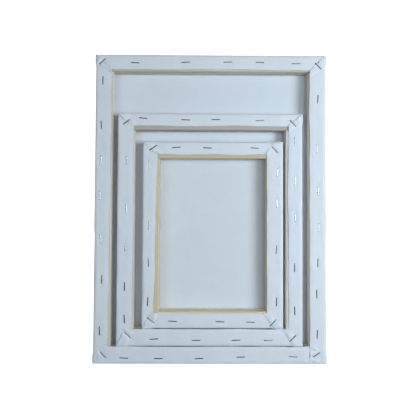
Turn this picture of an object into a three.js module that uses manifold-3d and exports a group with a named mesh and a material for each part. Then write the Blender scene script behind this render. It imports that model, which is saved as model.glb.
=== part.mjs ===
// A nested set of three stretched canvases, standing on their lower edges with their backs towards -Y.
// Each canvas is a frame of four mitred pine bars with tongue and slot corners, one piece of primed
// cotton drawn over the front and folded onto the back, and wire staples that hold the cloth.
// Millimetres, +Z up. The origin is the middle of the set's footprint.

import * as THREE from "three";
import { mergeVertices } from "three/addons/utils/BufferGeometryUtils.js";
import Module from "manifold-3d";

// Driving dimensions of one canvas
const DEPTH = 17;
const EDGE_TO_OPENING = 21.5; // from the canvas's outer edge to its bars' inner edge
const CLOTH = 0.5;
const GAP = 0.3; // between neighbouring pieces
const EDGE_RADIUS = 2; // of the cloth, where it turns round the bars
const ROUND_STEPS = 3;

// Stretcher bar
const LIP = 3; // flat bead at the front, the only part of a bar that the face of the cloth touches
const BEVEL = 2.4; // how far the bar's front has fallen back at its inner edge
const EASED = 0.8; // chamfer of the inner back edge
const BAR_INSET = CLOTH + GAP;
const BAR_WIDTH = EDGE_TO_OPENING - BAR_INSET;
const BAR_DEPTH = DEPTH - 2 * BAR_INSET;

// Wire staple
const CROWN = 11.8;
const WIRE_THICK = 0.6;
const WIRE_WIDE = 1.2;
const LEG = 7; // below the crown
const LEG_POINT = 0.8;
const MAX_TILT = 4; // degrees that a hand-driven staple is off its line

// How the set nests: each canvas stands on the lower bar of the next, on the folds at its corners,
// and its face touches the cloth of the recess behind it.
const FOLD_LIFT = 1.4;
const NEST_STEP = CLOTH + GAP;

// One entry per canvas. flap: width of cloth on the back; staples: place along the bar, from the left
// end or the top, and inset from the outer edge; corners: the diagonal staples, across and down or up
// from the outer corner, and degrees off the level; shift: sideways in the recess that holds it.
const CANVASES = [
  {
    name: "large", width: 300, height: 400, shift: 0,
    sides: {
      top: { flap: 19.3, staples: [[51, 11], [117, 10], [172, 9.5], [214, 9.5], [261, 11]] },
      bottom: { flap: 22.5, staples: [[40, 8], [84, 7.5], [136, 7.5], [190, 9.5], [257, 10]] },
      left: {
        flap: 19.8,
        staples: [[34.5, 9.5], [92.5, 8], [138, 8], [184, 7], [240.5, 8.5], [292, 10.5], [357.5, 8.5]],
      },
      right: {
        flap: 21,
        staples: [[57.5, 10.5], [122.5, 12], [177.5, 10.5], [224.5, 10], [270, 11], [310, 12.5], [361.5, 12]],
      },
    },
    corners: {
      top_left: [8.5, 9.5, 40], top_right: [10, 14, 47], bottom_left: [13.5, 12, 45], bottom_right: [13, 12.5, 33],
    },
  },
  {
    name: "medium", width: 240, height: 300, shift: -0.7,
    sides: {
      top: { flap: 16.3, staples: [[33, 6.5], [88, 8.5], [127.5, 8], [184.5, 9]] },
      bottom: { flap: 21.9, staples: [[49, 9.5], [103, 8], [154, 8], [195.5, 8]] },
      left: { flap: 20.4, staples: [[61.5, 12], [124, 12.5], [173, 11], [223.5, 11], [265, 11]] },
      right: { flap: 18.3, staples: [[36, 10], [87, 10], [134.5, 10], [199, 10.5], [254, 10.5]] },
    },
    corners: {
      top_left: [11.5, 11.5, 37],
      top_right: [12.5, 12.5, 47],
      bottom_left: [15.5, 14.5, 42],
      bottom_right: [13, 10.5, 42],
    },
  },
  {
    name: "small", width: 182, height: 240, shift: 3.2,
    sides: {
      top: { flap: 16.2, staples: [[43.5, 7.5], [83.5, 8], [145, 8]] },
      bottom: { flap: 19.5, staples: [[40, 9.5], [100.5, 9], [139.5, 8.5]] },
      left: { flap: 17, staples: [[29.5, 9], [108, 8.5], [155.5, 8.5], [205.5, 8]] },
      right: { flap: 21, staples: [[39, 7.5], [79, 8.5], [138.5, 9], [205.5, 9]] },
    },
    corners: {
      top_left: [13.5, 8, 34], top_right: [11, 10, 46], bottom_left: [12, 10.5, 36], bottom_right: [13.5, 7.5, 47],
    },
  },
];

// The side of the frame that a quarter turn takes the bottom bar to
const TURNS = { bottom: 0, left: Math.PI / 2, top: Math.PI, right: -Math.PI / 2 };
const UP_Y = new THREE.Vector3(0, 1, 0);

const clothMaterial = new THREE.MeshStandardMaterial({ color: 0xdfe6ec, roughness: 0.85 });
const woodMaterial = new THREE.MeshStandardMaterial({ color: 0xd9c39a, roughness: 0.7 });
const steelMaterial = new THREE.MeshStandardMaterial({ color: 0x9aa0a6, roughness: 0.35, metalness: 1 });

const wasm = await Module();
wasm.setup();

// A closed geometry as a solid that can be joined and cut
function toSolid(geometry) {
  const bare = geometry.clone();
  bare.deleteAttribute("normal");
  bare.deleteAttribute("uv");
  const merged = mergeVertices(bare);
  return new wasm.Manifold(new wasm.Mesh({
    numProp: 3,
    vertProperties: merged.attributes.position.array,
    triVerts: new Uint32Array(merged.index.array),
  }));
}

function toGeometry(solid) {
  const mesh = solid.getMesh();
  const geometry = new THREE.BufferGeometry();
  geometry.setAttribute("position", new THREE.BufferAttribute(mesh.vertProperties, 3));
  geometry.setIndex(new THREE.BufferAttribute(mesh.triVerts, 1));
  geometry.computeVertexNormals();
  return geometry;
}

function addMesh(group, name, geometry, material) {
  const mesh = new THREE.Mesh(geometry, material);
  mesh.name = name;
  group.add(mesh);
  return mesh;
}

// A box from its lowest to its highest corner
function boxBetween(low, high) {
  const size = high.map((value, axis) => value - low[axis]);
  const centre = high.map((value, axis) => (value + low[axis]) / 2);
  return new THREE.BoxGeometry(...size).translate(...centre);
}

// A quarter of a circle as points from one angle to another, for a rounded profile corner
function arc(centreX, centreY, radius, from, to) {
  return Array.from({ length: ROUND_STEPS + 1 }, (_, step) => {
    const angle = from + ((to - from) * step) / ROUND_STEPS;
    return new THREE.Vector2(centreX + radius * Math.cos(angle), centreY + radius * Math.sin(angle));
  });
}

// The bar's section. x is minus the distance inwards from its outer edge; y falls towards the back.
function barSection() {
  const round = EDGE_RADIUS - BAR_INSET;
  const back = -BAR_DEPTH;
  return new THREE.Shape([
    ...arc(-round, -round, round, 0, Math.PI / 2),
    new THREE.Vector2(-LIP, 0),
    new THREE.Vector2(-BAR_WIDTH, -BEVEL),
    new THREE.Vector2(-BAR_WIDTH, back + EASED),
    new THREE.Vector2(EASED - BAR_WIDTH, back),
    ...arc(-round, back + round, round, -Math.PI / 2, 0),
  ]);
}

// A flat outline in x and z as a plate from the frame's front to its back
function plate(points) {
  const shape = new THREE.Shape(points.map(([x, z]) => new THREE.Vector2(x, z)));
  const options = { depth: BAR_DEPTH + 2, bevelEnabled: false };
  return new THREE.ExtrudeGeometry(shape, options).rotateX(Math.PI / 2).translate(0, 1, 0);
}

// One bar along X with its outer edge at z = 0 and its front at y = 0. A tongue bar keeps the middle
// third of its depth right out to its ends; the others have that third cut away as a slot.
function barSolid(length, hasTongue) {
  const half = length / 2;
  const reach = half - GAP / Math.SQRT2; // half of the gap in each mitre, measured along the bar
  const third = BAR_DEPTH / 3;
  const prism = new THREE.ExtrudeGeometry(barSection(), { depth: length, bevelEnabled: false });
  const whole = toSolid(prism.rotateY(Math.PI / 2).translate(-half, 0, 0));
  const mitred = toSolid(plate([
    [-reach, 0],
    [reach, 0],
    [reach - BAR_WIDTH, BAR_WIDTH],
    [BAR_WIDTH - reach, BAR_WIDTH],
  ]));
  if (hasTongue) {
    const middle = boxBetween([-half, -2 * third, 0], [half, -third, BAR_WIDTH]);
    return whole.intersect(mitred.add(toSolid(middle)));
  }
  const shoulder = half - BAR_WIDTH - GAP;
  const slot = (low, high) =>
    toSolid(boxBetween([low, -2 * third - GAP, -1], [high, GAP - third, BAR_WIDTH + 1]));
  return whole
    .intersect(mitred)
    .subtract(slot(shoulder, half + 1))
    .subtract(slot(-half - 1, -shoulder));
}

// Where a canvas's staples go: x and z on its back, and the crown's turn about Y, which a fixed wave
// tilts a little, so that no two neighbours are quite alike.
function staplePlaces(canvas) {
  const { width, height } = canvas;
  const found = [];
  for (const [side, { staples }] of Object.entries(canvas.sides)) {
    const upright = side === "left" || side === "right";
    const length = upright ? height : width;
    const reach = (upright ? width : height) / 2;
    const sense = side === "bottom" || side === "left" ? 1 : -1;
    staples.forEach(([place, inset], index) => {
      const wave = Math.sin(7 * index + place);
      const spot = new THREE.Vector3(sense * (place - length / 2), 0, inset - reach);
      spot.applyAxisAngle(UP_Y, TURNS[side]);
      const turn = TURNS[side] + THREE.MathUtils.degToRad(MAX_TILT * wave);
      found.push({ name: `${side}_staple_${index + 1}`, x: spot.x, z: spot.z + height / 2, turn, index });
    });
  }
  for (const [corner, [across, along, slant]] of Object.entries(canvas.corners)) {
    const east = corner.endsWith("right") ? 1 : -1;
    const north = corner.startsWith("top") ? 1 : -1;
    found.push({
      name: `${corner}_corner_staple`,
      x: east * (width / 2 - across),
      z: height / 2 + north * (height / 2 - along),
      turn: east * north * THREE.MathUtils.degToRad(slant),
      index: 0,
    });
  }
  return found;
}

// Every corner staple is a piece of the model, and every second one along each bar, which keeps the
// number of pieces in hand. The cloth's edge is held all round either way.
function isModelled(staple) {
  return staple.index % 2 === 0;
}

// The U of a staple, its crown's inner face at y = 0 and its legs along +Y
function stapleGeometry() {
  const half = CROWN / 2;
  const inner = half - WIRE_THICK;
  const ease = WIRE_THICK / 2;
  const shape = new THREE.Shape([
    new THREE.Vector2(ease - half, -WIRE_THICK),
    new THREE.Vector2(half - ease, -WIRE_THICK),
    new THREE.Vector2(half, ease - WIRE_THICK),
    new THREE.Vector2(half, LEG - LEG_POINT),
    new THREE.Vector2(inner, LEG),
    new THREE.Vector2(inner, 0),
    new THREE.Vector2(-inner, 0),
    new THREE.Vector2(-inner, LEG),
    new THREE.Vector2(-half, LEG - LEG_POINT),
    new THREE.Vector2(-half, ease - WIRE_THICK),
  ]);
  const options = { depth: WIRE_WIDE, bevelEnabled: false };
  return new THREE.ExtrudeGeometry(shape, options).translate(0, 0, -WIRE_WIDE / 2);
}

// The holes of both legs of a staple, a gap wider than the wire all round
function legHoles(staple) {
  const halfWide = WIRE_WIDE / 2 + GAP;
  const outer = CROWN / 2 + GAP;
  const inner = outer - WIRE_THICK - 2 * GAP;
  const deep = LEG - 2 * GAP; // from the cloth's outer face to a gap past the points
  return [-1, 1].map((sign) => {
    const ends = [sign * inner, sign * outer].sort((a, b) => a - b);
    const hole = boxBetween([ends[0], -DEPTH - 1, -halfWide], [ends[1], deep + GAP - DEPTH, halfWide]);
    return toSolid(hole.rotateY(staple.turn).translate(staple.x, 0, staple.z));
  });
}

function cut(solid, tools) {
  return tools.reduce((left, tool) => left.subtract(tool), solid);
}

// A box with its long edges rounded over at the front and at the back, from z = margin upwards
function pillow(width, height, margin) {
  const round = EDGE_RADIUS - margin;
  const halfWide = width / 2 - margin;
  const outline = new THREE.Shape([
    new THREE.Vector2(-halfWide, margin),
    new THREE.Vector2(halfWide, margin),
    new THREE.Vector2(halfWide, height - margin),
    new THREE.Vector2(-halfWide, height - margin),
  ]);
  const options = {
    depth: DEPTH - 2 * EDGE_RADIUS,
    bevelEnabled: true,
    bevelThickness: round,
    bevelSize: round,
    bevelOffset: -round,
    bevelSegments: ROUND_STEPS,
  };
  return new THREE.ExtrudeGeometry(outline, options).rotateX(Math.PI / 2).translate(0, -EDGE_RADIUS, 0);
}

// The cloth: a tray over the frame, with its flaps turned in on the back
function clothSolid(canvas, holes) {
  const { width, height, sides } = canvas;
  const window = boxBetween(
    [sides.left.flap - width / 2, -DEPTH - 1, sides.bottom.flap],
    [width / 2 - sides.right.flap, EDGE_RADIUS - DEPTH, height - sides.top.flap],
  );
  const tray = toSolid(pillow(width, height, 0)).subtract(toSolid(pillow(width, height, CLOTH)));
  return cut(tray.subtract(toSolid(window)), holes);
}

function buildCanvas(canvas) {
  const group = new THREE.Group();
  const { name, width, height } = canvas;
  const staples = staplePlaces(canvas).filter(isModelled);
  const holes = staples.flatMap(legHoles);
  addMesh(group, `${name}_cloth`, toGeometry(clothSolid(canvas, holes)), clothMaterial);
  for (const [side, turn] of Object.entries(TURNS)) {
    const upright = side === "left" || side === "right";
    const length = (upright ? height : width) - 2 * BAR_INSET;
    const reach = (upright ? width : height) / 2 - BAR_INSET;
    const seat = new THREE.Matrix4()
      .makeTranslation(0, -BAR_INSET, height / 2)
      .multiply(new THREE.Matrix4().makeRotationY(turn))
      .multiply(new THREE.Matrix4().makeTranslation(0, 0, -reach));
    const plain = toGeometry(barSolid(length, upright)).applyMatrix4(seat);
    addMesh(group, `${name}_${side}_bar`, toGeometry(cut(toSolid(plain), holes)), woodMaterial);
  }
  for (const staple of staples) {
    const mesh = addMesh(group, `${name}_${staple.name}`, stapleGeometry(), steelMaterial);
    mesh.position.set(staple.x, -DEPTH - GAP, staple.z);
    mesh.rotation.y = staple.turn;
  }
  return group;
}

// The set: the large canvas stands at z = 0, and the others stand one inside another
const setDepth = DEPTH + (CANVASES.length - 1) * NEST_STEP + GAP + WIRE_THICK;
const set = new THREE.Group();
CANVASES.forEach((canvas, level) => {
  const group = buildCanvas(canvas);
  const lift = level * (EDGE_TO_OPENING + FOLD_LIFT);
  group.position.set(canvas.shift, setDepth / 2 - level * NEST_STEP, lift);
  set.add(group);
});

export default set;
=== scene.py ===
"""A nested set of three stretched canvases, seen from their backs.

Each canvas is one sheet of primed cotton, drawn over a pine frame and folded onto its back, where
staples hold it. The sheet is built as a cloth is: a face, four walls, four flaps and at each corner
a real pleat of three layers. Lengths are in millimetres in the canvas's own frame (x across, v deep
from the painting face, z up), and become metres in the row frame when a piece is made.
"""

import math

import bpy
import numpy as np
from mathutils import Matrix, Vector, noise


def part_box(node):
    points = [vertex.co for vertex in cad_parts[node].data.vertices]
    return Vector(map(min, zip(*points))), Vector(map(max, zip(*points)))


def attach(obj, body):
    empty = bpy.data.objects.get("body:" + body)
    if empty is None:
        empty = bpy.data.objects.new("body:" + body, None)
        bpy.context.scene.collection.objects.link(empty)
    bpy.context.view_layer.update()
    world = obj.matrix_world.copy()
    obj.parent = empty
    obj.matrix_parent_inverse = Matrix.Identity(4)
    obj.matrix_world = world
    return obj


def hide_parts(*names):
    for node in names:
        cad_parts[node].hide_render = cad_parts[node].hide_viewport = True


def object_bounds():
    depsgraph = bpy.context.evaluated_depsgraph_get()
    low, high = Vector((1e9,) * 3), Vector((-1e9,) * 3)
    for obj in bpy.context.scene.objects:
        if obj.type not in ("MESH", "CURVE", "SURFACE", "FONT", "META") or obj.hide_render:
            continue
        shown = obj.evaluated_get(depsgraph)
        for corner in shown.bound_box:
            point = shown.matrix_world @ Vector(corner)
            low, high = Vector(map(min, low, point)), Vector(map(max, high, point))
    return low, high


MM = 0.001

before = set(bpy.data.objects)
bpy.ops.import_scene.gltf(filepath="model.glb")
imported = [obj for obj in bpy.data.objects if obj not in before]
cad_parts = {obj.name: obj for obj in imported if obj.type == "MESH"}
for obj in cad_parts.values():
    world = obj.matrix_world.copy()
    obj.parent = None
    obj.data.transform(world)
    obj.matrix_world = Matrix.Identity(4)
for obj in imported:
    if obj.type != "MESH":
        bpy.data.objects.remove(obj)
cad_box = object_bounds()

# ---------------------------------------------------------------- driving dimensions, millimetres

DEPTH = 17  # of a canvas, from its painting face to its back
CLOTH = 0.36  # thickness of the primed cotton
EDGE_RADIUS = 2  # where the cloth turns round a bar
CREASE_RADIUS = 0.5  # of the mitre on the back
CORNER_ZONE = 40  # how far from a corner the flap's columns lean in to its mitre
LAYER = 0.46  # pitch of the layers in a pleat
PLEAT_FADE = 6.5  # over which the upper layer comes down beside a pleat
PUFF = 0.5  # how far a flap stands up between its staples
HELD = 0.28  # height of the cloth under a staple's crown
PRESS_REACH = 2.3  # how far the dent goes out from a staple's crown
THREAD = 0.62  # pitch of the weave

CROWN = 11.8  # length of a staple over its legs
WIRE_THICK = 0.6
WIRE_WIDE = 1.2
WIRE_BEND = 0.7  # radius of the corners between crown and legs
LEG = 7
CROWN_LIFT = 0.3  # from the cloth's nominal back face to the crown's inner face
MAX_TILT = 4  # degrees that a hand-driven staple is off its line

ARRIS = 0.25  # rounding of the bars' sharp edges
FACE_GRID = 10  # spacing of the painting face's mesh

# ------------------------------------------------------------------------------ studio, in metres

BACKDROP = 1.25  # brightness of the studio's white backdrop where it is seen
AMBIENT = 0.1  # and of the light that it casts
STUDIO_COLOUR = (1.04, 0.93, 0.84)
FLOOR_HALF = 6.0  # half the floor's side
FLOOR_DROP = 0.0002  # from the set's lower edge to the floor
LIGHT_TARGET = (0, 0, 0.2)  # the middle of the set

# Square soft lights: place, side, watts and colour
LIGHTS = {
    "key": ((0.69, -0.69, 0.25), 0.42, 6.2, (0.85, 0.97, 1.08)),
    "front_fill": ((0.33, -0.94, 0.28), 0.3, 1.3, (0.85, 0.97, 1.08)),
    "left_fill": ((-0.6, -0.8, 0.2), 0.5, 2.05, (0.75, 0.97, 1.07)),
    "rear_fill": ((-0.9, 1.6, 1.0), 1.4, 34, (0.92, 0.97, 1.0)),
}

# -------------------------------------------------------------------- the canvases, in millimetres

# Sides: the width of the flap on the back, and each staple's place along the bar, from the left end
# or the top, and its inset from the outer edge. Corners: the diagonal staple's place across and along
# from the outer corner and its degrees off the level, which side's flap lies on top, the pleat's width,
# the slant of its fold (0 along the mitre, 1 square to the bar) and the height of its puckers.
CANVASES = {
    "large": {
        "sides": {
            "top": (19.3, [(51, 11), (117, 10), (172, 9.5), (214, 9.5), (261, 11)]),
            "bottom": (22.5, [(40, 8), (84, 7.5), (136, 7.5), (190, 9.5), (257, 10)]),
            "left": (
                19.8,
                [(34.5, 9.5), (92.5, 8), (138, 8), (184, 7), (240.5, 8.5), (292, 10.5), (357.5, 8.5)],
            ),
            "right": (
                21,
                [(57.5, 10.5), (122.5, 12), (177.5, 10.5), (224.5, 10), (270, 11), (310, 12.5), (361.5, 12)],
            ),
        },
        "corners": {
            "top_left": ((8.5, 9.5, 40), "left", 8, 0.12, 1.3),
            "top_right": ((10, 14, 47), "right", 10, -0.05, 0.5),
            "bottom_left": ((13.5, 12, 45), "left", 9, 0.1, 0.8),
            "bottom_right": ((13, 12.5, 33), "right", 11, 0.9, 0.5),
        },
    },
    "medium": {
        "sides": {
            "top": (16.3, [(33, 6.5), (88, 8.5), (127.5, 8), (184.5, 9)]),
            "bottom": (21.9, [(49, 9.5), (103, 8), (154, 8), (195.5, 8)]),
            "left": (20.4, [(61.5, 12), (124, 12.5), (173, 11), (223.5, 11), (265, 11)]),
            "right": (18.3, [(36, 10), (87, 10), (134.5, 10), (199, 10.5), (254, 10.5)]),
        },
        "corners": {
            "top_left": ((11.5, 11.5, 37), "top", 8, 0.15, 0.6),
            "top_right": ((12.5, 12.5, 47), "right", 9, 0.05, 0.5),
            "bottom_left": ((15.5, 14.5, 42), "bottom", 10, 0.45, 0.4),
            "bottom_right": ((13, 10.5, 42), "bottom", 9, -0.08, 0.4),
        },
    },
    "small": {
        "sides": {
            "top": (16.2, [(43.5, 7.5), (83.5, 8), (145, 8)]),
            "bottom": (19.5, [(40, 9.5), (100.5, 9), (139.5, 8.5)]),
            "left": (17, [(29.5, 9), (108, 8.5), (155.5, 8.5), (205.5, 8)]),
            "right": (21, [(39, 7.5), (79, 8.5), (138.5, 9), (205.5, 9)]),
        },
        "corners": {
            "top_left": ((13.5, 8, 34), "top", 8, 0.1, 0.6),
            "top_right": ((11, 10, 46), "top", 10, 0.3, 1.5),
            "bottom_left": ((12, 10.5, 36), "bottom", 9, 0.2, 0.5),
            "bottom_right": ((13.5, 7.5, 47), "bottom", 9, 0.1, 0.5),
        },
    },
}

# Flaps that are cut askew: how much wider they are at the top than at the bottom
ASKEW = {("large", "left"): 2, ("small", "left"): 4.2}

# Each canvas's pine, and beside that painted light and shade for each bar (tops darker, other sides lighter,
# as the light falls on them): the small canvas's pine is yellower
PINE_TONES_AND_PAINTED_SHADE = {
    "large": ((0.74, 0.67, 0.58), {"top": 0.98, "bottom": 1.05, "left": 1.1, "right": 1.2}),
    "medium": ((0.75, 0.68, 0.60), {"top": 0.76, "bottom": 1.05, "left": 1.18, "right": 1.2}),
    "small": ((0.77, 0.65, 0.47), {"top": 0.92, "bottom": 1.18, "left": 1.03, "right": 1.14}),
}

# Going round the frame anticlockwise, as seen from the back: where each side starts, as a share of
# half the width and of the height, its direction and its outward normal in x and z, and the name of
# the corner that it starts from.
SIDES = {
    "bottom": ((-1, 0), (1, 0), (0, -1), "bottom_left"),
    "right": ((1, 0), (0, 1), (1, 0), "bottom_right"),
    "top": ((1, 1), (-1, 0), (0, 1), "top_right"),
    "left": ((-1, 1), (0, -1), (-1, 0), "top_left"),
}
ORDER = list(SIDES)
TURNS = {"bottom": 0, "left": math.pi / 2, "top": math.pi, "right": -math.pi / 2}


def smooth(value):
    """0 below 0, 1 above 1 and an S between."""
    t = np.clip(value, 0, 1)
    return t * t * (3 - 2 * t)


def neighbours(side):
    """The sides before and after this one, going round."""
    index = ORDER.index(side)
    return ORDER[index - 1], ORDER[(index + 1) % len(ORDER)]


def wave(*coordinates, scale, seed):
    """Smooth noise of about -1 to 1 at a point, with features about scale millimetres wide."""
    point = Vector([c / scale for c in coordinates] + [0] * (3 - len(coordinates)))
    return 2 * noise.noise(point + Vector((seed, 0.37 * seed, 1.7 * seed)))


class Canvas:
    """The sizes of one canvas, from the frame and the table above."""

    def __init__(self, name):
        self.name = name
        self.body = f"{name}_canvas"
        low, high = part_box(f"{name}_cloth")
        self.width = (high.x - low.x) / MM
        self.height = (high.z - low.z) / MM
        self.origin = Vector(((low.x + high.x) / 2, high.y, low.z))
        self.sides = CANVASES[name]["sides"]
        self.corners = CANVASES[name]["corners"]
        self.seed = 11.3 * (1 + list(CANVASES).index(name))

    def length(self, side):
        return self.height if side in ("left", "right") else self.width

    def to_row(self, x, v, z):
        """A point of this canvas in the row frame, in metres."""
        return self.origin + Vector((x, -v, z)) * MM

    def staples(self):
        """Each staple's name, its place on the back, and the turn of its crown about Y."""
        found = []
        for side, (_, places) in self.sides.items():
            upright = side in ("left", "right")
            reach = (self.width if upright else self.height) / 2
            sense = 1 if side in ("bottom", "left") else -1
            turn = TURNS[side]
            for index, (place, inset) in enumerate(places):
                error = math.sin(7 * index + place)
                x = sense * (place - self.length(side) / 2)
                z = inset - reach
                spot = (
                    x * math.cos(turn) + z * math.sin(turn),
                    z * math.cos(turn) - x * math.sin(turn) + self.height / 2,
                )
                tilt = math.radians(MAX_TILT * error)
                found.append((f"{side}_staple_{index + 1}", spot, turn + tilt))
        for corner, ((across, along, slant), *_) in self.corners.items():
            east = 1 if corner.endswith("right") else -1
            north = 1 if corner.startswith("top") else -1
            x = east * (self.width / 2 - across)
            z = self.height / 2 + north * (self.height / 2 - along)
            found.append((f"{corner}_corner_staple", (x, z), east * north * math.radians(slant)))
        return found


# ---------------------------------------------------------------------------------- the cloth


def profile_rows():
    """Rows of the cloth from the painting face's edge to the flap's end: (inset, depth, lean, share).
    lean is the normal's angle from the painting face round to the back, and share is how far across
    the flap a row lies, None for the rows before the flap."""
    quarter = math.pi / 2
    rows = []
    for step in range(5):
        turn = quarter * step / 4
        rows.append((EDGE_RADIUS * (1 - math.sin(turn)), EDGE_RADIUS * (1 - math.cos(turn)), turn, None))
    for step in range(1, 7):
        rows.append((0, EDGE_RADIUS + (DEPTH - 2 * EDGE_RADIUS) * step / 7, quarter, None))
    for step in range(6):
        turn = quarter * step / 5
        inset = EDGE_RADIUS * (1 - math.cos(turn))
        depth = DEPTH - EDGE_RADIUS * (1 - math.sin(turn))
        rows.append((inset, depth, quarter + turn, None))
    for step in range(1, 23):
        rows.append((EDGE_RADIUS, DEPTH, 2 * quarter, step / 22))
    return rows


def side_columns(length):
    """Places of the columns along one side, from a corner's arc to the next one's: close together
    near the corners and about 3 mm apart between them."""
    near = [0.5, 1, 1.5, 2, *range(3, 17), *range(18, CORNER_ZONE + 1, 2)]
    middle = length - 2 * CORNER_ZONE
    count = round(middle / 3)
    between = [CORNER_ZONE + middle * step / count for step in range(1, count)]
    return near + between + [length - place for place in reversed(near)]


def corner_fold(canvas, corner):
    """The pleat at a corner: the side on top, and its width, slant and puckers."""
    _, over, width, slant, puckers = canvas.corners[corner]
    return over, width, slant, puckers


def pleat_columns():
    """Columns of a pleat from the lower layer's mitre to the upper layer's fold: share of the
    pleat's width, height in layers, and how far the column stands out past the fold's end."""
    shares = [0.08, 0.16, 0.26, 0.4, 0.6, 0.8, 1]
    out = [(share, 0, 0) for share in shares]
    for angle in (45, 90, 135):
        a = math.radians(angle)
        out.append((1, (1 - math.cos(a)) / 2, LAYER / 2 * math.sin(a)))
    out += [(share, 1, 0) for share in reversed(shares)]
    out.append((0, 1, 0))
    for angle in (45, 90, 135):
        a = math.radians(angle)
        out.append((0, 1 + (1 - math.cos(a)) / 2, -LAYER / 2 * math.sin(a)))
    out.append((0, 2, 0))
    return out


class Column:
    """One column of the cloth, from the painting face's edge to the flap's end."""

    def __init__(self, side, place, share=None, layers=0.0, slip=0.0):
        self.side = side
        self.place = place  # along the side
        self.share = share  # of the pleat's width, for a column that lies inside a pleat
        self.layers = layers  # height on the layers below
        self.slip = slip  # how far it stands out past the end of a fold


def columns_round(canvas):
    """Every column of the cloth in order, starting at the bottom left corner's mitre."""
    found = []
    pleat = pleat_columns()
    for side in ORDER:
        before, _ = neighbours(side)
        over = corner_fold(canvas, SIDES[side][3])[0]
        # The mitre belongs to the side below, then come the pleat's layers under the side on top
        if over == side:
            found.append(Column(side, 0.0, 0.0))
            found += [Column(side, 0.0, share, layers, slip) for share, layers, slip in pleat]
        else:
            end = canvas.length(before)
            found += [Column(before, end, share, layers, slip) for share, layers, slip in reversed(pleat)]
            found.append(Column(before, end, 0.0))
        found += [Column(side, place) for place in side_columns(canvas.length(side))]
    return found


def plan_point(along, inset, beside):
    """A point of the outline moved in by inset on this side and by beside on the next, near the
    corner at (0, 0) where they meet: its place along the side and inwards, and the outward normal
    there. along runs from the middle of the corner's turn."""
    radius = max(EDGE_RADIUS - inset, CREASE_RADIUS)
    start = beside + radius
    if along <= EDGE_RADIUS:
        angle = math.radians(45) * (1 - along / EDGE_RADIUS)
        normal = (-math.sin(angle), -math.cos(angle))
        return start + radius * normal[0], inset + radius + radius * normal[1], normal
    if along < CORNER_ZONE:
        lean = (along - EDGE_RADIUS) * (CORNER_ZONE - start) / (CORNER_ZONE - EDGE_RADIUS)
        return start + lean, inset, (0, -1)
    return along, inset, (0, -1)


def segment_distance(x, z, spot, turn):
    """How far a point on the back is from a staple's crown."""
    dx, dz = x - spot[0], z - spot[1]
    along = dx * math.cos(turn) - dz * math.sin(turn)
    across = dx * math.sin(turn) + dz * math.cos(turn)
    return math.hypot(max(abs(along) - CROWN / 2, 0), across)


def flap_end(canvas, side, place):
    """Width of the flap at a place along a side, with its hand-cut waver: a slow one, and a fine one
    from the scissors."""
    flap = canvas.sides[side][0]
    flap += ASKEW.get((canvas.name, side), 0) * (0.5 - place / canvas.length(side))
    seed = canvas.seed + 3 * ORDER.index(side)
    slow = 0.45 * wave(place, scale=37, seed=seed)
    fine = 0.14 * wave(place, scale=4.5, seed=seed + 1)
    return flap + slow + fine


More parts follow.
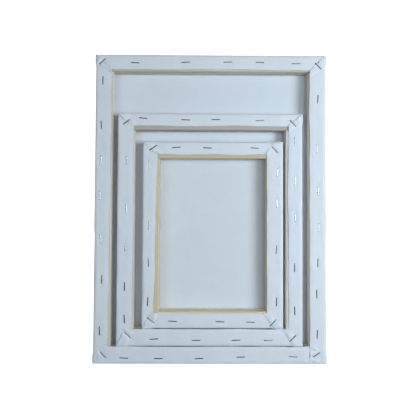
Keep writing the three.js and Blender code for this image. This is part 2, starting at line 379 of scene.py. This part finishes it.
class ClothMaker:
    """Works out where each point of a canvas's cloth lies."""

    def __init__(self, canvas):
        self.canvas = canvas
        self.staples = canvas.staples()

    def pleat_width(self, width, depth):
        """A pleat opens from nothing at the painting face to its full width at the back."""
        return float(width * smooth((depth - EDGE_RADIUS) / (DEPTH - 2 * EDGE_RADIUS)))

    def fold_lean(self, column, over, along, slant):
        """How much of the way from the mitre towards the outer edge a layer's fold leans."""
        if over != column.side or (column.share is not None and column.layers < 1):
            return 0.0
        if column.layers == 1:
            return slant * (1 - column.share)
        return slant * max(0.0, 1 - along / CORNER_ZONE)

    def layers_at(self, column, over, along, width):
        """Height of this column in layers, with the upper layer coming down beside its pleat."""
        if column.share is not None:
            return column.layers
        if over != column.side:
            return 0.0
        return 2 * (1 - smooth((along - width - 0.8) / PLEAT_FADE))

    def held(self, x, z):
        """How firmly the nearest staple holds the cloth at a point on the back, 0 to 1."""
        nearest = min(segment_distance(x, z, spot, turn) for _, spot, turn in self.staples)
        return math.exp(-((nearest / PRESS_REACH) ** 2))

    def place(self, column, row):
        """The point (x, v, z) of the cloth's middle surface at a column and a row."""
        canvas = self.canvas
        inset, depth, lean, share = row
        length = canvas.length(column.side)
        from_end = column.place > length / 2
        before, after = neighbours(column.side)
        neighbour = after if from_end else before
        over, full, slant, puckers = corner_fold(canvas, SIDES[after if from_end else column.side][3])
        width = self.pleat_width(full, depth)
        along = length - column.place if from_end else column.place
        if column.share is not None:
            along = column.share * width
        beside = inset
        if share is not None:
            neighbour_place = 0 if from_end else canvas.length(neighbour)
            inset = EDGE_RADIUS + share * (flap_end(canvas, column.side, column.place) - EDGE_RADIUS)
            beside = EDGE_RADIUS + share * (flap_end(canvas, neighbour, neighbour_place) - EDGE_RADIUS)
        a, u, normal = plan_point(along, inset, beside)
        a -= self.fold_lean(column, over, along, slant) * (beside - EDGE_RADIUS if share else 0)
        opened = min(1.0, width / 2)  # how far the pleat's layers have come apart
        layers = self.layers_at(column, over, along, width) * opened
        slip = column.slip * opened
        a -= slip * normal[1]
        u += slip * normal[0]
        if from_end:
            a = length - a
            normal = (-normal[0], normal[1])
        x, z, normal_x, normal_z = self.on_outline(column.side, a, u, normal)
        flat = math.sin(lean)  # share of the normal that points out of the outline
        back = -math.cos(lean)  # share of it that points to the back
        height = LAYER * layers
        if lean > math.pi / 2:
            height = self.relief(x, z, inset, share, layers, height, puckers, along, back)
        rise = height - CLOTH / 2
        return x + rise * flat * normal_x, depth + rise * back, z + rise * flat * normal_z

    def on_outline(self, side, a, u, normal):
        """A place a along a side and u inwards, and a normal there, turned into x and z."""
        start, direction, out, _ = SIDES[side]
        x = start[0] * self.canvas.width / 2 + a * direction[0] - u * out[0]
        z = start[1] * self.canvas.height + a * direction[1] - u * out[1]
        normal_x = normal[0] * direction[0] - normal[1] * out[0]
        normal_z = normal[0] * direction[1] - normal[1] * out[1]
        return x, z, normal_x, normal_z

    def relief(self, x, z, inset, share, layers, height, puckers, along, back):
        """Height of the cloth on the back: puffed between the staples and pressed under them."""
        seed = self.canvas.seed
        body = smooth((inset - 0.8) / 3.4)  # nothing on the outer edge's turn
        loose = 1 - 0.55 * smooth(((share or 0) - 0.72) / 0.28)  # flatter towards the cut edge
        ripple = 0.3 * wave(x, z, scale=21, seed=seed) + 0.12 * wave(x, z, scale=7, seed=seed + 5)
        near_corner = 1 - smooth((along - 6) / 22)
        gather = puckers * near_corner * wave(x, z, scale=6.5, seed=seed + 9)
        lift = body * (PUFF * loose + ripple)
        top = layers / 2
        free = height + lift * (1 - 0.7 * near_corner * (1 - top)) + body * top * max(gather, -0.35)
        firm = HELD - (2 - layers) * CLOTH * near_corner
        press = self.held(x, z) * back * body
        return free + press * (firm - free)


def zip_strip(outer, inner, place):
    """Triangles between two rows of vertices that run side by side, each a list of indices."""
    faces = []
    i = j = 0
    while i < len(outer) - 1 or j < len(inner) - 1:
        step_outer = j == len(inner) - 1 or (
            i < len(outer) - 1 and place[outer[i + 1]] <= place[inner[j + 1]]
        )
        if step_outer:
            faces.append((outer[i + 1], outer[i], inner[j]))
            i += 1
        else:
            faces.append((inner[j], inner[j + 1], outer[i]))
            j += 1
    return faces


def wrap_faces(indices):
    """Quads between neighbouring columns and rows, with those that have closed up left out."""
    faces = []
    rows, columns = len(indices), len(indices[0])
    for r in range(rows - 1):
        for c in range(columns):
            d = (c + 1) % columns
            loop = [indices[r][c], indices[r][d], indices[r + 1][d], indices[r + 1][c]]
            kept = [v for k, v in enumerate(loop) if v != loop[k - 1]]
            if len(kept) > 2:
                faces.append(tuple(kept))
    return faces


def spread(low, high, spacing):
    """Evenly spaced places from low to high, about spacing apart."""
    count = max(2, round((high - low) / spacing))
    return [low + (high - low) * step / count for step in range(count + 1)]


def cloth_surface(canvas):
    """The middle surface of a canvas's cloth as points in millimetres and faces."""
    maker = ClothMaker(canvas)
    columns = columns_round(canvas)
    points, indices = [], []
    for row in profile_rows():
        line = []
        was_shut = False
        for column in columns:
            # Where a pleat hasn't opened yet, all its columns share one point
            shut = column.share is not None and maker.pleat_width(1, row[1]) == 0
            if shut and was_shut:
                line.append(line[-1])
            else:
                points.append(maker.place(column, row))
                line.append(len(points) - 1)
            was_shut = shut
        indices.append(line)
    faces = wrap_faces(indices)
    faces += painting_face(canvas, columns, points, indices[0])
    return points, faces


def painting_face(canvas, columns, points, edge):
    """Adds the middle of the painting face to points: a grid, joined to the wrapped edge."""
    margin = EDGE_RADIUS + FACE_GRID
    xs = spread(margin - canvas.width / 2, canvas.width / 2 - margin, FACE_GRID)
    zs = spread(margin, canvas.height - margin, FACE_GRID)
    grid = {}
    for i, x in enumerate(xs):
        for j, z in enumerate(zs):
            sway = 0.06 * wave(x, z, scale=60, seed=canvas.seed + 2)
            points.append((x, CLOTH / 2 + sway, z))
            grid[i, j] = len(points) - 1
    last_x, last_z = len(xs) - 1, len(zs) - 1
    faces = [
        (grid[i, j], grid[i, j + 1], grid[i + 1, j + 1], grid[i + 1, j])
        for i in range(last_x)
        for j in range(last_z)
    ]
    inner = {
        "bottom": [grid[i, 0] for i in range(last_x + 1)],
        "right": [grid[last_x, j] for j in range(last_z + 1)],
        "top": [grid[i, last_z] for i in reversed(range(last_x + 1))],
        "left": [grid[0, j] for j in reversed(range(last_z + 1))],
    }
    for side, (_, direction, _, _) in SIDES.items():
        own = [k for k, column in enumerate(columns) if column.side == side and column.share is None]
        outer = [edge[k] for k in (own[0] - 1, *own, (own[-1] + 1) % len(columns))]
        place = {
            k: points[k][0] * direction[0] + points[k][2] * direction[1]
            for k in (*outer, *inner[side])
        }
        faces += zip_strip(outer, inner[side], place)
    return faces


def make_piece(name, mesh, materials):
    """An object with these materials, in the scene."""
    piece = bpy.data.objects.new(name, mesh)
    bpy.context.scene.collection.objects.link(piece)
    for material in materials:
        mesh.materials.append(material)
    return piece


def thicken(piece, thickness):
    """Turns a middle surface into a closed sheet: material 0 outside, 1 inside, 2 at its cut edge."""
    solid = piece.modifiers.new("thickness", "SOLIDIFY")
    solid.thickness = thickness
    solid.offset = 0
    solid.material_offset = 1
    solid.material_offset_rim = 2
    bpy.context.view_layer.update()
    evaluated = piece.evaluated_get(bpy.context.evaluated_depsgraph_get())
    mesh = bpy.data.meshes.new_from_object(evaluated)
    piece.modifiers.clear()
    piece.data = mesh
    mesh.shade_smooth()
    mesh.set_sharp_from_angle(angle=math.radians(50))


def build_cloth(canvas, materials):
    points, faces = cloth_surface(canvas)
    mesh = bpy.data.meshes.new(f"{canvas.name}_primed_cloth")
    mesh.from_pydata([canvas.to_row(*point) for point in points], [], faces)
    piece = make_piece(f"{canvas.name}_primed_cloth", mesh, materials)
    thicken(piece, CLOTH * MM)
    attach(piece, canvas.body)
    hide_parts(f"{canvas.name}_cloth")


# --------------------------------------------------------------------------------- the staples


def staple_path():
    """The wire's middle line in x and y, from one leg's point to the other's, with the crown's
    inner face at y = 0 and the legs along +Y."""
    half = (CROWN - WIRE_THICK) / 2
    top = -WIRE_THICK / 2
    left = [(-half, y) for y in (LEG, LEG - 0.4, LEG - 0.9, LEG * 0.5)]
    arc = [
        (WIRE_BEND - half - WIRE_BEND * math.cos(a), top + WIRE_BEND - WIRE_BEND * math.sin(a))
        for a in (math.radians(degrees) for degrees in range(0, 91, 18))
    ]
    sag = 0.04  # of the crown towards the wood
    crown = [(half * k / 4, top + sag * (1 - (k / 4) ** 2)) for k in range(-3, 4)]
    right = [(-x, y) for x, y in reversed(left + arc)]
    return left + arc + crown + right


def wire_section():
    """The flattened wire's section, an oval that is a little peaked: points across its thickness
    and its width."""
    found = []
    for step in range(16):
        a = 2 * math.pi * (step + 0.5) / 16
        thin = math.copysign(abs(math.cos(a)) ** 1.1, math.cos(a))
        found.append((WIRE_THICK / 2 * thin, WIRE_WIDE / 2 * math.sin(a)))
    return found


def staple_mesh():
    """The section carried along the path, with chisel points on the legs."""
    path, section = staple_path(), wire_section()
    points, faces = [], []
    for k, (x, y) in enumerate(path):
        a, b = path[max(k - 1, 0)], path[min(k + 1, len(path) - 1)]
        run = Vector((b[0] - a[0], b[1] - a[1])).normalized()
        end = min(k, len(path) - 1 - k)
        chisel = (0.25, 0.6, 1)[min(end, 2)]
        for across, wide in section:
            points.append(Vector((x - run.y * across * chisel, y + run.x * across * chisel, wide)) * MM)
    count = len(section)
    for k in range(len(path) - 1):
        for i in range(count):
            j = (i + 1) % count
            faces.append((k * count + i, k * count + j, (k + 1) * count + j, (k + 1) * count + i))
    faces.append(tuple(reversed(range(count))))
    faces.append(tuple(range(len(points) - count, len(points))))
    mesh = bpy.data.meshes.new("staple_wire")
    mesh.from_pydata(points, [], faces)
    mesh.shade_smooth()
    mesh.set_sharp_from_angle(angle=math.radians(55))
    return mesh


def build_staples(canvas, mesh):
    for name, (x, z), turn in canvas.staples():
        node = f"{canvas.name}_{name}"
        piece = make_piece(f"{node}_wire", mesh, [])
        place = canvas.to_row(x, DEPTH + CROWN_LIFT, z)
        piece.matrix_world = Matrix.Translation(place) @ Matrix.Rotation(turn, 4, "Y")
        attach(piece, canvas.body)
        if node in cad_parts:
            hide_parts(node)


# -------------------------------------------------------------------------------- the materials


class Nodes:
    """A material's node tree, with short ways to add and join nodes."""

    def __init__(self, name):
        self.material = bpy.data.materials.new(name)
        self.material.use_nodes = True
        self.tree = self.material.node_tree
        self.shader = self.tree.nodes["Principled BSDF"]

    def add(self, kind, **values):
        node = self.tree.nodes.new(kind)
        for key, value in values.items():
            setattr(node, key, value)
        return node

    def join(self, source, target):
        self.tree.links.new(source, target)

    def math(self, operation, *inputs):
        node = self.add("ShaderNodeMath", operation=operation)
        for socket, value in zip(node.inputs, inputs):
            if isinstance(value, bpy.types.NodeSocket):
                self.join(value, socket)
            else:
                socket.default_value = value
        return node.outputs[0]

    def noise(self, vector, scale, detail=2.0, roughness=0.5):
        node = self.add("ShaderNodeTexNoise")
        self.join(vector, node.inputs["Vector"])
        node.inputs["Scale"].default_value = scale
        node.inputs["Detail"].default_value = detail
        node.inputs["Roughness"].default_value = roughness
        return node.outputs["Fac"]

    def scaled(self, vector, scale, offset=(0, 0, 0)):
        node = self.add("ShaderNodeMapping")
        self.join(vector, node.inputs["Vector"])
        node.inputs["Scale"].default_value = scale
        node.inputs["Location"].default_value = offset
        return node.outputs["Vector"]

    def blend(self, factor, first, second):
        """A colour between two others, each a socket or an (r, g, b)."""
        node = self.add("ShaderNodeMix", data_type="RGBA")
        self.join(factor, node.inputs["Factor"])
        for socket, value in ((node.inputs[6], first), (node.inputs[7], second)):
            if isinstance(value, bpy.types.NodeSocket):
                self.join(value, socket)
            else:
                socket.default_value = (*value, 1)
        return node.outputs[2]

    def between(self, value, low, high, to_low=0.0, to_high=1.0):
        node = self.add("ShaderNodeMapRange", interpolation_type="SMOOTHSTEP")
        self.join(value, node.inputs["Value"])
        node.inputs["From Min"].default_value = low
        node.inputs["From Max"].default_value = high
        node.inputs["To Min"].default_value = to_low
        node.inputs["To Max"].default_value = to_high
        return node.outputs["Result"]

    def bump(self, height, distance, strength=1.0, normal=None):
        node = self.add("ShaderNodeBump")
        node.inputs["Distance"].default_value = distance
        node.inputs["Strength"].default_value = strength
        self.join(height, node.inputs["Height"])
        if normal is not None:
            self.join(normal, node.inputs["Normal"])
        return node.outputs["Normal"]

    def finish(self, colour, roughness, normal):
        for value, socket in ((colour, "Base Color"), (roughness, "Roughness"), (normal, "Normal")):
            self.join(value, self.shader.inputs[socket])
        return self.material


def thread_coordinates(m):
    """Places along the sheet's two thread directions: x and z on its face and back, and depth
    instead of the one that a wall stands across."""
    place = m.add("ShaderNodeSeparateXYZ")
    m.join(m.add("ShaderNodeTexCoord").outputs["Object"], place.inputs[0])
    facing = m.add("ShaderNodeSeparateXYZ")
    m.join(m.add("ShaderNodeNewGeometry").outputs["True Normal"], facing.inputs[0])
    found = []
    for axis in ("X", "Z"):
        on_wall = m.math("GREATER_THAN", m.math("ABSOLUTE", facing.outputs[axis]), 0.7)
        depth_part = m.math("MULTIPLY", place.outputs["Y"], on_wall)
        off_wall = m.math("SUBTRACT", 1.0, on_wall)
        found.append(m.math("MULTIPLY_ADD", place.outputs[axis], off_wall, depth_part))
    return found


def cloth_material(name, colour, warm, thread, weave_depth, roughness):
    """Plain-woven cotton: crossing threads with slubs, mottled and in places a little warmer."""
    m = Nodes(name)
    across, along = thread_coordinates(m)
    turn = math.pi / thread
    warp = m.math("SINE", m.math("MULTIPLY", across, turn))
    weft = m.math("SINE", m.math("MULTIPLY", along, turn))
    crossing = m.math("MULTIPLY", warp, weft)
    ribs = m.math("ADD", m.math("ABSOLUTE", warp), m.math("ABSOLUTE", weft))
    weave = m.math("MULTIPLY_ADD", crossing, 0.5, m.math("MULTIPLY", ribs, 0.35))
    flat_place = m.add("ShaderNodeCombineXYZ")
    m.join(across, flat_place.inputs[0])
    m.join(along, flat_place.inputs[1])
    plane = flat_place.outputs[0]
    slub_warp = m.noise(m.scaled(plane, (1 / thread, 40, 1)), 1.0)
    slub_weft = m.noise(m.scaled(plane, (40, 1 / thread, 1), (3, 7, 1)), 1.0)
    slubs = m.math("ADD", slub_warp, slub_weft)
    object_place = m.add("ShaderNodeTexCoord").outputs["Object"]
    mottle = m.noise(object_place, 55, 4.0, 0.6)
    patch = m.noise(object_place, 14, 2.0)
    shade = m.math("ADD", m.math("MULTIPLY", mottle, 0.5), m.math("MULTIPLY", slubs, 0.3))
    tone = m.blend(m.between(shade, 0.35, 0.75), colour, tuple(min(1, c * 1.05) for c in colour))
    tone = m.blend(m.between(patch, 0.45, 0.75, 0.0, 0.5), tone, warm)
    grain = m.math("MULTIPLY_ADD", slubs, 0.45, weave)
    normal = m.bump(grain, weave_depth)
    normal = m.bump(mottle, 0.00022, 0.35, normal)
    rough = m.between(mottle, 0.3, 0.7, roughness - 0.06, roughness + 0.06)
    m.shader.inputs["Specular IOR Level"].default_value = 0.35
    return m.finish(tone, rough, normal)


def toned(tint, *shares):
    return tuple(value * share for value, share in zip(tint, shares))


def pine_material(name, upright, seed, tint):
    """Planed pine cut from a log whose heart lies off to one side of the bar: growth rings that
    show as long lines, fine fibres and a slightly furry sawn surface."""
    m = Nodes(name)
    place = m.add("ShaderNodeTexCoord").outputs["Object"]
    squeeze = (1, 1, 0.05) if upright else (0.05, 1, 1)
    warp_place = m.scaled(place, squeeze, (seed, 0.3 * seed, 0.7 * seed))
    bend = m.noise(warp_place, 38, 2.0)
    ring_place = m.add("ShaderNodeSeparateXYZ")
    m.join(place, ring_place.inputs[0])
    run = ring_place.outputs["Z" if upright else "X"]
    side = ring_place.outputs["X" if upright else "Z"]
    drift = m.math("MULTIPLY", run, 0.012 * math.sin(3 * seed))
    heart_side = m.math("ADD", m.math("SUBTRACT", side, 0.035 * math.sin(seed)), drift)
    heart_deep = m.math("ADD", ring_place.outputs["Y"], 0.045 + 0.02 * math.cos(2 * seed))
    square = m.math("ADD", m.math("POWER", m.math("ABSOLUTE", heart_side), 2.0),
                    m.math("POWER", heart_deep, 2.0))
    radius = m.math("ADD", m.math("SQRT", square), m.math("MULTIPLY", bend, 0.004))
    ring = m.math("FRACT", m.math("MULTIPLY", radius, 1 / 0.0024))
    late = m.between(ring, 0.45, 0.93)
    late = m.math("MULTIPLY", late, m.between(ring, 0.93, 1.0, 1.0, 0.0))
    fibre_scale = (1, 1, 0.012) if upright else (0.012, 1, 1)
    fibres = m.noise(m.scaled(place, fibre_scale, (0, seed, 0)), 2600, 3.0, 0.6)
    streaks = m.noise(m.scaled(place, fibre_scale, (seed, 0, seed)), 420, 2.0)
    blotch = m.noise(m.scaled(place, squeeze, (seed, seed, 0)), 60, 2.0)
    tone = m.blend(m.between(blotch, 0.3, 0.7), tint, toned(tint, 0.91, 0.91, 0.9))
    tone = m.blend(m.math("MULTIPLY", late, 0.55), tone, toned(tint, 0.76, 0.68, 0.6))
    tone = m.blend(m.between(streaks, 0.5, 0.8, 0.0, 0.35), tone, toned(tint, 0.77, 0.73, 0.68))
    tone = m.blend(m.between(fibres, 0.45, 0.75, 0.0, 0.3), tone, toned(tint, 1.07, 1.09, 1.13))
    height = m.math("MULTIPLY_ADD", late, 0.5, fibres)
    normal = m.bump(height, 0.00012, 0.8)
    rough = m.between(fibres, 0.3, 0.7, 0.52, 0.7)
    m.shader.inputs["Specular IOR Level"].default_value = 0.4
    return m.finish(tone, rough, normal)


def steel_material():
    """Galvanised flat wire: a bright coat, drawn lengthways, with darker spangles."""
    m = Nodes("galvanised_wire")
    place = m.add("ShaderNodeTexCoord").outputs["Object"]
    drawn = m.noise(m.scaled(place, (1, 14, 14)), 420, 3.0, 0.6)
    spangle = m.noise(place, 1900, 2.0)
    tone = m.blend(m.between(drawn, 0.35, 0.7), (0.29, 0.32, 0.37), (0.52, 0.56, 0.61))
    tone = m.blend(m.between(spangle, 0.5, 0.8, 0.0, 0.5), tone, (0.20, 0.22, 0.25))
    rough = m.between(spangle, 0.3, 0.7, 0.1, 0.18)
    m.shader.inputs["Metallic"].default_value = 1
    return m.finish(tone, rough, m.bump(drawn, 0.00003, 0.6))


def dress_bars(canvas):
    """The CAD bars keep their mesh: each gets its own pine, made lighter or darker per side as painted light
    and shade, and a small bevel eases its arrises.
    """
    for index, side in enumerate(SIDES):
        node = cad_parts[f"{canvas.name}_{side}_bar"]
        upright = side in ("left", "right")
        base, painted_side_light = PINE_TONES_AND_PAINTED_SHADE[canvas.name]
        # painted light and shade: each bar's pine is scaled lighter or darker for how the light falls on its
        # side
        tint = tuple(value * painted_side_light[side] for value in base)
        pine = pine_material(f"pine_{canvas.name}_{side}", upright, canvas.seed + index, tint)
        node.data.materials.clear()
        node.data.materials.append(pine)
        arris = node.modifiers.new("eased_arris", "BEVEL")
        arris.width = ARRIS * MM
        arris.segments = 2
        arris.limit_method = "ANGLE"
        arris.angle_limit = math.radians(40)
        arris.use_clamp_overlap = True


# ------------------------------------------------------------------------- the studio and camera


def build_floor():
    """A plain pale floor just under the lower edge that the set stands on."""
    mesh = bpy.data.meshes.new("studio_floor")
    level = cad_box[0].z - FLOOR_DROP
    corners = [(-1, -1), (1, -1), (1, 1), (-1, 1)]
    mesh.from_pydata([(FLOOR_HALF * x, FLOOR_HALF * y, level) for x, y in corners], [], [(0, 1, 2, 3)])
    material = bpy.data.materials.new("studio_floor")
    material.use_nodes = True
    shader = material.node_tree.nodes["Principled BSDF"]
    shader.inputs["Base Color"].default_value = (0.8, 0.8, 0.8, 1)
    shader.inputs["Roughness"].default_value = 0.9
    shader.inputs["Emission Color"].default_value = (1, 1, 1, 1)
    shader.inputs["Emission Strength"].default_value = 0.95
    floor = make_piece("studio_floor", mesh, [material])
    floor.visible_diffuse = False
    floor.visible_glossy = False


def build_lights():
    for name, (place, size, watts, colour) in LIGHTS.items():
        data = bpy.data.lights.new(name, "AREA")
        data.size = size
        data.energy = watts
        data.color = colour
        lamp = bpy.data.objects.new(name, data)
        bpy.context.scene.collection.objects.link(lamp)
        lamp.location = place
        aim = Vector(LIGHT_TARGET) - Vector(place)
        lamp.rotation_euler = aim.to_track_quat("-Z", "Y").to_euler()


def build_world():
    """A white backdrop to look at, which lights the object only softly."""
    world = bpy.data.worlds.new("studio")
    bpy.context.scene.world = world
    world.use_nodes = True
    tree = world.node_tree
    strength = tree.nodes.new("ShaderNodeMix")
    strength.inputs["A"].default_value = AMBIENT
    strength.inputs["B"].default_value = BACKDROP
    seen = tree.nodes.new("ShaderNodeLightPath").outputs["Is Camera Ray"]
    tree.links.new(seen, strength.inputs["Factor"])
    background = tree.nodes["Background"]
    background.inputs["Color"].default_value = (*STUDIO_COLOUR, 1)
    tree.links.new(strength.outputs["Result"], background.inputs["Strength"])


def build_camera():
    """At the height of the set's middle, square on to its back but for a degree or so."""
    data = bpy.data.cameras.new("camera")
    data.sensor_width = 36
    data.lens = 34.07
    data.shift_x, data.shift_y = -0.0291, -0.0231
    camera = bpy.data.objects.new("camera", data)
    bpy.context.scene.collection.objects.link(camera)
    yaw, pitch, roll = (math.radians(angle) for angle in (-0.38, 1.4, -0.23))
    turn = Matrix.Rotation(yaw, 4, "Z") @ Matrix.Rotation(pitch, 4, "X") @ Matrix.Rotation(roll, 4, "Y")
    level = Matrix.Rotation(math.radians(90), 4, "X")  # from looking down to looking along +Y
    camera.matrix_world = Matrix.Translation((-0.0004, -0.5, 0.2105)) @ turn @ level
    bpy.context.scene.camera = camera


def build_set():
    pitch = THREAD * MM
    primed = cloth_material("primed_cotton", (0.80, 0.83, 0.87), (0.80, 0.825, 0.84), pitch, 0.00005, 0.72)
    plain = cloth_material("cotton_reverse", (0.77, 0.805, 0.845), (0.77, 0.79, 0.80), pitch, 0.00009, 0.85)
    edge = cloth_material("cut_cotton_edge", (0.84, 0.83, 0.81), (0.86, 0.84, 0.80), pitch / 2, 0.00012, 0.9)
    wire = staple_mesh()
    wire.materials.append(steel_material())
    for name in CANVASES:
        canvas = Canvas(name)
        build_cloth(canvas, [primed, plain, edge])
        build_staples(canvas, wire)
        dress_bars(canvas)


bpy.context.scene.view_settings.view_transform = "Standard"
build_camera()
build_world()
build_floor()
build_lights()
build_set()
